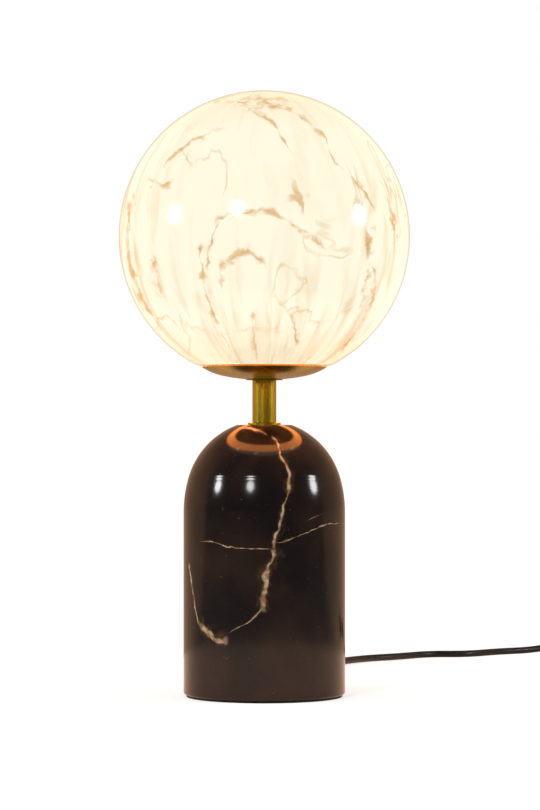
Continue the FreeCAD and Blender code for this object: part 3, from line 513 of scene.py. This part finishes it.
def brass_finish(name, stretch, light, dark):
    """Aged brass with fine brushing along one way and a few darker stains."""
    material, tree, shader = finish_of(name, {"Metallic": 1.0})
    brushing = mottle(tree, 3.0, low=0.25, high=0.75, stretch=stretch)
    stains = mottle(tree, 0.12, low=0.45, high=0.75)
    colour = mixed(tree, brushing, dark, light)
    put(tree, mixed(tree, sums(tree, "MULTIPLY", stains, 0.35), colour, dark), shader.inputs["Base Color"])
    roughened(tree, shader, brushing, low=0.26, high=0.33)
    return material


brushed_up = (1, 1, 0.04)
turned_round = (0.12, 0.12, 1.6)
stem_brass = brass_finish("brass_stem", brushed_up, brass_light, brass_dark)
turned_brass = brass_finish("brass_turned", turned_round, brass_light, brass_dark)
dish_brass_shaded = brass_finish("brass_dish_shaded", turned_round, brass_shaded_light, brass_shaded_dark)

flange_radius = 11.3
flange_top = 187.9
flange_edge = 0.4
spigot_bore = 6.2
spigot_radius = 7.15
spigot_top = 191.9
flange_shape = spun([
    (spigot_bore, stone_top), (flange_radius, stone_top), (flange_radius, flange_top - flange_edge),
    (flange_radius - flange_edge, flange_top), (spigot_radius, flange_top), (spigot_radius, spigot_top),
    (spigot_bore, spigot_top),
])
finished("foot_flange_turned", flange_shape, 30, turned_brass, "brass", "lamp", "foot_flange")

stem_radius = 8.25
stem_top = 217.2
stem_edge = 0.25
stem_shape = spun([
    (spigot_radius, flange_top), (stem_radius - stem_edge, flange_top), (stem_radius, flange_top + stem_edge),
    (stem_radius, stem_top - stem_edge), (stem_radius - stem_edge, stem_top), (spigot_radius, stem_top),
])
finished("stem", stem_shape, 30, stem_brass, "brass", "lamp", "stem_tube")
dress(turned_brass, "stem_bush")

# ---- dish ----
# Spun brass saucer, 1.2 mm thick, with a turned-up lip. The nut and the stem clamp its flat middle, and its rim
# hides the mouth of the glass.
dish_bottom = stem_top
dish_floor = {"radius": 140.0, "edge": 28.8}
dish_side = 41.0
dish_edge = 43.1
dish_wall = 1.2
dish_land = 12.5
dish_hole = 5.05
dish_lip = 0.6
lip_round = 0.3


def saucer(outset, rim):
    """One face of the dish from its middle to its lip, moved in by a wall."""
    floor_centre = dish_bottom + dish_floor["radius"]
    turn = math.asin(dish_floor["edge"] / dish_floor["radius"])
    carry = dish_floor["radius"] - dish_side
    side_x, side_z = carry * math.sin(turn), floor_centre - carry * math.cos(turn)
    inner_angle = math.degrees(math.asin(dish_land / (dish_floor["radius"] - outset))) - 90
    turn_angle = math.degrees(turn) - 90
    lip_angle = math.degrees(math.asin((dish_edge - outset - side_x) / (dish_side - outset))) - 90
    points = bow(0, floor_centre, dish_floor["radius"] - outset, inner_angle, turn_angle, 12)
    points += bow(side_x, side_z, dish_side - outset, turn_angle, lip_angle, 12)
    if rim is None:
        rim = points[-1][1] + dish_lip
    return points + [(dish_edge - outset, rim - lip_round)], rim


outer_side, rim_height = saucer(0, None)
inner_side, rim_height = saucer(dish_wall, rim_height)
dish_profile = (
    [(dish_hole, dish_bottom + dish_wall), (dish_hole, dish_bottom), (dish_land, dish_bottom)] + outer_side
    + [(dish_edge - lip_round, rim_height), (dish_edge - dish_wall + lip_round, rim_height)]
    + inner_side[::-1] + [(dish_land, dish_bottom + dish_wall)]
)
finished("dish_spun", spun(dish_profile, steps=256), 30, dish_brass_shaded, "brass", "lamp", "dish")

# A clear soft ring on the dish's shoulder keeps the glass off the metal.
soft_ring = plain_finish("clear_rubber", (0.75, 0.73, 0.68, 1), (0.6, 0.58, 0.52, 1), (0.35, 0.5), 0.2,
                         {"Transmission Weight": 0.6, "IOR": 1.45})
dress(soft_ring, "globe_gasket")

# ---- lamp holder ----
# Screw holder in black moulded plastic, with a ceramic core, a nickelled screw sleeve and a spring tongue under
# the bulb. Its cap screws on the threaded tube.
holder_black = plain_finish("black_plastic", (0.022, 0.022, 0.022, 1), (0.014, 0.014, 0.014, 1), 
                            (0.35, 0.5), 0.8)
ceramic = plain_finish("ceramic", (0.78, 0.75, 0.68, 1), (0.68, 0.65, 0.58, 1), (0.25, 0.4), 0.3)
nickelled = plain_finish("nickelled_brass", (0.62, 0.56, 0.42, 1), (0.5, 0.44, 0.32, 1), (0.18, 0.32), 0.4,
                         {"Metallic": 1.0})
dress(holder_black, "holder_cap", "holder_shell")
dress(ceramic, "holder_insert")
dress(nickelled, "holder_contact")

screw_pitch = 3.62
screw_depth = 0.35
screw_fade = 3.0
screw_rows = 72
sleeve_radius = 14.35
sleeve_wall = 0.4


def screwed(bottom, top, outer, wall):
    """A thin sleeve with a rolled screw thread that fades out at both ends."""
    heights = [bottom + (top - bottom) * row / screw_rows for row in range(screw_rows + 1)]
    shape = spun([(outer, z) for z in heights] + [(outer - wall, z) for z in heights[::-1]], steps=96)
    for vert in shape.verts:
        height = vert.co.z / mm
        angle = math.atan2(vert.co.y, vert.co.x)
        fade = min(1, (height - bottom) / screw_fade, (top - height) / screw_fade)
        wave = 0.5 - 0.5 * math.cos(math.tau * height / screw_pitch - angle)
        radius = math.hypot(vert.co.x, vert.co.y)
        scale = (radius - screw_depth * fade * wave * mm) / radius
        vert.co.x *= scale
        vert.co.y *= scale
    return shape


sleeve_low, sleeve_high = [point[2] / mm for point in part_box("holder_sleeve")]
sleeve_shape = screwed(sleeve_low, sleeve_high, sleeve_radius, sleeve_wall)
finished("holder_screw_sleeve", sleeve_shape, 60, nickelled, "nickel_brass", "lamp", "holder_sleeve")

# ---- bulb ----
# Screw-cap bulb with a frosted dome over a board of light sources. It stands upright inside the globe and shows
# when the glass is lifted off.
bulb_black = plain_finish("bulb_black", (0.02, 0.02, 0.02, 1), (0.012, 0.012, 0.012, 1), (0.2, 0.3), 0.5)
bulb_white = plain_finish("bulb_white", (0.8, 0.79, 0.76, 1), (0.74, 0.72, 0.68, 1), (0.35, 0.5), 0.3)
bulb_opal, tree, shader = finish_of("bulb_opal", {"Roughness": 0.35, "Emission Strength": 1.6})
dome_mottle = mottle(tree, 0.08)
put(tree, mixed(tree, dome_mottle, (0.85, 0.8, 0.7, 1), (0.8, 0.75, 0.64, 1)), shader.inputs["Base Color"])
put(tree, mixed(tree, dome_mottle, (1, 0.86, 0.62, 1), (1, 0.83, 0.57, 1)), shader.inputs["Emission Color"])
dress(bulb_black, "bulb_insulator")
dress(bulb_white, "bulb_housing", "bulb_led_board")
dress(nickelled, "bulb_contact")
cap_low, cap_high = [point[2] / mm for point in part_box("bulb_cap")]
cap_radius = 13.2
cap_wall = 0.4
cap_shape = screwed(cap_low, cap_high, cap_radius, cap_wall)
finished("bulb_screw_cap", cap_shape, 60, nickelled, "nickel_brass", "bulb", "bulb_cap")

dome_seat = 319.7
dome_radius = 30.0
dome_wall = 1.2
dome_rise = dome_radius * 0.25
dome_centre = dome_seat + dome_rise
inner_dome = dome_radius - dome_wall
outer_start = -math.degrees(math.asin(dome_rise / dome_radius))
inner_start = -math.degrees(math.asin(dome_rise / inner_dome))
dome_profile = bow(0, dome_centre, dome_radius, outer_start, 90, 40)
dome_profile += bow(0, dome_centre, inner_dome, inner_start, 90, 40)[::-1]
finished("bulb_frosted_dome", spun(dome_profile, steps=96), 40, bulb_opal, "bulb_opal", "bulb", "bulb_dome")

# ---- glass globe ----
# Blown opal glass, 200 mm across and 3 mm thick, with amber and brown veins worked into it. It tucks under to a
# seat round the open mouth, and the bulb lights it from inside.
globe_centre = 315.988
globe_radius = 100.0
globe_wall = 3.0
globe_blend = 12.0
globe_seat = 42.8
globe_mouth = 34.0
globe_drop = math.sqrt((globe_radius - globe_blend) ** 2 - globe_seat ** 2)
glass_bright = (0.97, 0.93, 0.74, 1)
glass_dimmer_glow = (0.93, 0.74, 0.48, 1)
glass_tan = (0.74, 0.46, 0.2, 1)
glass_brown = (0.5, 0.27, 0.1, 1)

glass_unlit = (0.06, 0.045, 0.03, 1)

globe_veins = [
    ("across", [(-34.4, 316.1), (-29.1, 320.6), (-20.6, 323.7), (-10.1, 324.2), (-0.3, 326.1),
                (9.5, 322.9), (19.3, 316.5), (28.5, 309.4), (37.0, 304.5), (43.0, 300.1)], 1.1, 6.3),
    ("up", [(320.6, -29.1), (309.6, -33.7), (299.2, -36.4), (286.3, -37.1)], 0.9, 5.4),
    ("across", [(-27.4, 405.7), (-14.4, 402.8), (-4.4, 405.1), (5.7, 400.1), (15.0, 398.7),
                (23.7, 391.9), (33.6, 384.1), (40.2, 377.9), (44.0, 365.1), (53.9, 352.5),
                (63.9, 343.6), (75.5, 324.3)], 1.4, 7.2),
    ("across", [(-14.4, 402.8), (-5.7, 393.7), (5.6, 386.8), (10.9, 377.4), (14.8, 370.3),
                (20.0, 361.3)], 1.0, 5.4),
    ("up", [(349.6, 17.4), (340.3, 21.3), (330.4, 24.5), (321.8, 25.2)], 2.6, 8.1),
    ("up", [(307.2, -41.7), (288.4, -41.1), (267.7, -36.6), (250.3, -29.5), (233.6, -21.1)], 0.8, 5.4),
    ("up", [(263.5, -4.3), (256.5, -7.6), (247.5, -7.6), (236.6, -5.7), (227.7, -4.4)], 0.9, 4.5),
    ("across", [(-68.9, 351.0), (-65.0, 361.2), (-57.6, 367.7), (-50.9, 372.1), (-46.9, 376.9),
                (-39.5, 377.8), (-30.9, 381.7), (-22.2, 385.0)], 1.1, 5.4),
    ("up", [(296.1, 69.3), (285.3, 73.7), (269.1, 72.0), (254.0, 64.9), (240.2, 55.1),
            (229.0, 43.8)], 1.1, 6.3),
    ("across", [(-27.0, 289.0), (-21.0, 296.0), (-11.0, 297.5), (-3.0, 293.0), (3.0, 285.0)], 1.9, 9.0),
    ("up", [(296.0, -27.0), (286.0, -28.5), (274.0, -27.0)], 1.2, 6.0),
    ("across", [(-80.0, 351.0), (-74.0, 349.0), (-66.0, 345.0), (-58.0, 349.0)], 1.6, 8.0),
    ("across", [(-57.0, 372.0), (-50.0, 361.0), (-46.0, 357.0)], 1.5, 9.0),
    ("across", [(12.0, 331.0), (20.0, 334.0), (28.0, 329.0)], 3.2, 10.0),
    ("up", [(318.0, 62.0), (300.0, 70.0), (280.0, 68.0), (262.0, 62.0)], 1.3, 8.0),
    ("up", [(352.0, 76.0), (330.0, 85.0), (300.0, 88.0)], 0.9, 6.0),
    ("up", [(345.0, -88.0), (310.0, -92.0), (280.0, -86.0), (258.0, -74.0)], 1.1, 7.0),
    ("up", [(300.0, -72.0), (284.0, -74.0), (270.0, -68.0)], 1.3, 8.0),
    ("up", [(268.0, 8.0), (252.0, 20.0), (236.0, 22.0)], 0.8, 6.0),
]
# Heights, distances from the middle and depths over which the marbling comes and goes, and the heights towards
# the top and the mouth over which the glow is painted dimmer and peach, in millimetres.
streak_heights = (232.0, 300.0)
streak_sides = (48.0, 88.0)
dim_glow_top_heights = (372.0, 414.0)
dim_glow_mouth_heights = (228.0, 262.0)
front_depths = (-6.0, 10.0)
back_depths = (0.0, 20.0)
streak_turns = (9, 9, 9)
streak_stretch = (0.004, 0.004, 0.02)

glass, tree, shader = finish_of(
    "opal_glass", {"Roughness": 0.1, "Specular IOR Level": 0.5, "Base Color": glass_unlit}
)
facing = tree.nodes.new("ShaderNodeLayerWeight").outputs["Facing"]
put(tree, ranged(tree, facing, 0.82, 1.0, 1.0, 0.1), shader.inputs["Emission Strength"])
place = place_mm(tree)
x, y, z = split(tree, place)
front = ranged(tree, y, *front_depths, 1.0, 0.0)
cores, edges = traced(tree, place, x, z, globe_veins, front)
across = tree.nodes.new("ShaderNodeVectorMath")
across.operation = "NORMALIZE"
put(tree, stretched(tree, place, (1, 1, 0)), across.inputs[0])
fan = tree.nodes.new("ShaderNodeVectorMath")
put(tree, stretched(tree, across.outputs["Vector"], streak_turns), fan.inputs[0])
put(tree, stretched(tree, place, streak_stretch), fan.inputs[1])
streaks = ranged(tree, noise(tree, fan.outputs["Vector"], 1.0, 4.0, 0.6), 0.46, 0.74, smooth=True)
low_down = ranged(tree, z, *streak_heights, 1.0, 0.2)
at_sides = ranged(tree, sums(tree, "ABSOLUTE", x), *streak_sides, 0.0, 0.9, smooth=True)
streaks = sums(tree, "MULTIPLY", streaks, sums(tree, "MAXIMUM", low_down, at_sides))
# Painted light: the glow turns peach towards the top and the mouth, dimmer away from the bulb, with a little
# random warm tone mixed in.
glow_dims_high_up = ranged(tree, z, *dim_glow_top_heights, 0.0, 0.5, smooth=True)
glow_dims_near_dish = ranged(tree, z, *dim_glow_mouth_heights, 0.6, 0.0, smooth=True)
glow_falloff_and_tone = strongest(tree, [glow_dims_high_up, glow_dims_near_dish, sums(tree, "MULTIPLY", mottle(tree, 0.02, 0.5, 0.85), 0.25)])
behind = ridge(tree, place, 0.014, scale=0.008, detail=5.0, distortion=1.4)
cores = sums(tree, "MAXIMUM", cores, sums(tree, "MULTIPLY", behind, ranged(tree, y, *back_depths)))
body_colour = mixed(tree, glow_falloff_and_tone, glass_bright, glass_dimmer_glow)
hair_place = stretched(tree, place, (1, 1, 0.4))
hairs = ridge(tree, hair_place, 0.016, scale=0.02, detail=7.0, distortion=0.7, smooth=True)
hairs = sums(tree, "MULTIPLY", hairs, mottle(tree, 0.016, 0.46, 0.6))
body_colour = mixed(tree, sums(tree, "MULTIPLY", streaks, 0.7), body_colour, glass_tan)
body_colour = mixed(tree, sums(tree, "MULTIPLY", hairs, 0.6), body_colour, glass_tan)
smoke = sums(tree, "MULTIPLY", edges, mottle(tree, 0.09, 0.42, 0.62))
body_colour = mixed(tree, sums(tree, "MULTIPLY", smoke, 0.85), body_colour, glass_tan)
vein_colour = mixed(tree, mottle(tree, 0.1, 0.4, 0.7), glass_tan, glass_brown)
patchy = ranged(tree, mottle(tree, 0.055, 0.38, 0.62), 0.0, 1.0, 0.12, 0.78)
lit_colour = mixed(tree, sums(tree, "MULTIPLY", cores, patchy), body_colour, vein_colour)
put(tree, lit_colour, shader.inputs["Emission Color"])

seat_turn = math.degrees(math.atan2(globe_drop, globe_seat))


def meridian(outset):
    """One face of the glass from its top to its mouth, moved in by a wall."""
    points = bow(0, globe_centre, globe_radius - outset, 90, -seat_turn, 96)
    points += bow(globe_seat, globe_centre - globe_drop, globe_blend - outset, -seat_turn, -90, 16)
    return points


lower_edge = globe_centre - globe_drop - globe_blend
mouth_round = globe_wall / 4
globe_profile = (
    meridian(0)
    + bow(globe_mouth + mouth_round, lower_edge + mouth_round, mouth_round, -90, -180, 4)
    + bow(globe_mouth + mouth_round, lower_edge + globe_wall - mouth_round, mouth_round, 180, 90, 4)
    + meridian(globe_wall)[::-1]
)
finished("globe_glass", spun(globe_profile, closed=False, steps=256), 40, glass, "opal_glass", "globe", "globe")

# Warm light that falls out of the mouth on the dish, the stem and the stone's top.
glow = bpy.data.lights.new("mouth_glow", "AREA")
glow.shape = "DISK"
glow.size = 0.12
glow.energy = 0.3
glow.color = (1, 0.25, 0.02)
glow_place = bpy.data.objects.new("mouth_glow", glow)
glow_place.location = (0, 0, 0.2265)
glow_place.visible_camera = False
bpy.context.scene.collection.objects.link(glow_place)

# ---- lead ----
# Two-core lead in a black sheath, 5.4 mm thick. It leaves at the back, runs over the floor through an inline
# switch, and its unseen length lies wound in two layers before the plug.
sheath = plain_finish("lead_sheath", (0.02, 0.0195, 0.019, 1), (0.012, 0.0115, 0.011, 1), (0.3, 0.45), 0.3,
                      {"Specular IOR Level": 0.4})
lead_radius = 2.7
exit_height = 22
relief_tip = 80.5
floor_line = 2.75
switch_line = 7.5
plug_line = 6.85
far_row = 402
lead_points = [
    (0, relief_tip, exit_height), (0, 106, exit_height), (6, 141, 17), (20, 184, 7.5), (38, 228, floor_line),
    (57, 272, floor_line), (80, 306, floor_line), (107, 324, floor_line), (132, 352, floor_line),
    (164, 350, floor_line), (190, 378, floor_line), (222, 396, floor_line), (246, far_row, switch_line),
    (266, far_row, switch_line), (324, far_row, switch_line), (335.4, far_row, switch_line),
    (347.4, far_row, floor_line), (364, far_row, floor_line),
]
# The coil: half turns of these radii, which wind in, climb one layer and wind out again.
coil_x, coil_y = 376.0, far_row
coil_radii = [37.3, 34.3, 31.3, 28.3, 25.3, 22.3, 25.3, 28.3, 31.3, 34.3, 37.3, 40.3]
climbing_turn = 5
layer = 6.0
turn_points = 8
lead_points.append((coil_x - 3, coil_y, floor_line))
heading = 1
height = floor_line
for index, radius in enumerate(coil_radii):
    centre_y = coil_y - heading * radius
    climb = layer if index == climbing_turn else 0
    for step in range(turn_points):
        share = (step + 0.5) / turn_points
        angle = math.pi * share
        reach = heading * radius / math.cos(math.pi / (2 * turn_points))
        lead_points.append(
            (coil_x + reach * math.sin(angle), centre_y + reach * math.cos(angle), height + climb * share)
        )
    coil_y = centre_y - heading * radius
    height += climb
    heading = -heading
lead_points += [(coil_x + 8, coil_y, height), (coil_x + 26, coil_y, plug_line), (415.4, far_row, plug_line)]

lead_curve = bpy.data.curves.new("lead", "CURVE")
lead_curve.dimensions = "3D"
run = lead_curve.splines.new("NURBS")
run.points.add(len(lead_points) - 1)
for knot, (knot_x, knot_y, knot_z) in zip(run.points, lead_points):
    knot.co = (knot_x * mm, knot_y * mm, knot_z * mm, 1)
run.order_u = 3
run.use_endpoint_u = True
lead_curve.resolution_u = 8
lead_curve.render_resolution_u = 8
lead_curve.bevel_depth = lead_radius * mm
lead_curve.bevel_resolution = 5
lead_curve.use_fill_caps = True
lead_curve.materials.append(sheath)
lead = bpy.data.objects.new("lead", lead_curve)
bpy.context.scene.collection.objects.link(lead)
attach(lead, "lamp")
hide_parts("lead_free", "lead_coil")
dress(sheath, "lead_inside")
wire_cover = plain_finish("wire_sheath", (0.2, 0.09, 0.04, 1), (0.15, 0.065, 0.03, 1), (0.4, 0.5), 0.5)
dress(wire_cover, "lead_wires")

# The rubber relief sits in the stone's rear channel and tapers off along the lead in a row of ribs.
rubber = plain_finish("black_rubber", (0.02, 0.02, 0.02, 1), (0.012, 0.012, 0.012, 1), (0.5, 0.65), 0.4)
relief_bore = 2.75
relief_start = 30.0
channel_radius = 4.95
relief_flange = 8.0
relief_edge = 0.3
flange_back = 54.5
flange_face = 56.5
nose_radius = 6.0
tip_radius = 4.2
tip_bead = 0.15
tip_length = 2.5
rib_count = 5
rib_depth = 0.9
rib_start = flange_face + 0.02
rib_outline = ((0.0, 0.0), (0.5, 0.0), (0.6, rib_depth), (0.9, rib_depth))
rib_pitch = (relief_tip - tip_length - flange_face) / rib_count
relief_profile = [
    (relief_bore, relief_tip), (relief_bore, relief_start), (channel_radius, relief_start),
    (channel_radius, flange_back), (relief_flange - relief_edge, flange_back),
    (relief_flange, flange_back + relief_edge), (relief_flange, flange_face - relief_edge),
    (relief_flange - relief_edge, flange_face),
]
for rib in range(rib_count):
    for share, drop in rib_outline:
        height = rib_start + rib_pitch * (rib + share)
        taper = nose_radius + (tip_radius - nose_radius) * (height - flange_face) / (relief_tip - flange_face)
        relief_profile.append((taper - drop, height))
relief_profile += [(tip_radius + tip_bead, relief_tip - tip_length), (tip_radius, relief_tip)]
relief_shape = spun(relief_profile, steps=64)
bmesh.ops.transform(
    relief_shape, matrix=Matrix.Translation((0, 0, exit_height * mm)) @ Matrix.Rotation(-math.pi / 2, 4, "X"),
    verts=relief_shape.verts,
)
relief = finished("lead_relief", relief_shape, 40, rubber, "rubber", "lamp", "cord_relief")
dress(rubber, "cord_stop")

# ---- inline switch and plug ----
# Black moulded switch with a rocker, its two halves screwed together round the lead, and a flat moulded plug
# with two pins at the far end.
dress(holder_black, "switch_base", "switch_cover", "plug_body")
rocker_finish = plain_finish("rocker_plastic", (0.03, 0.03, 0.03, 1), (0.02, 0.02, 0.02, 1), 
                             (0.25, 0.35), 0.6)
dress(rocker_finish, "switch_rocker")
dress(nickelled, "plug_pins")
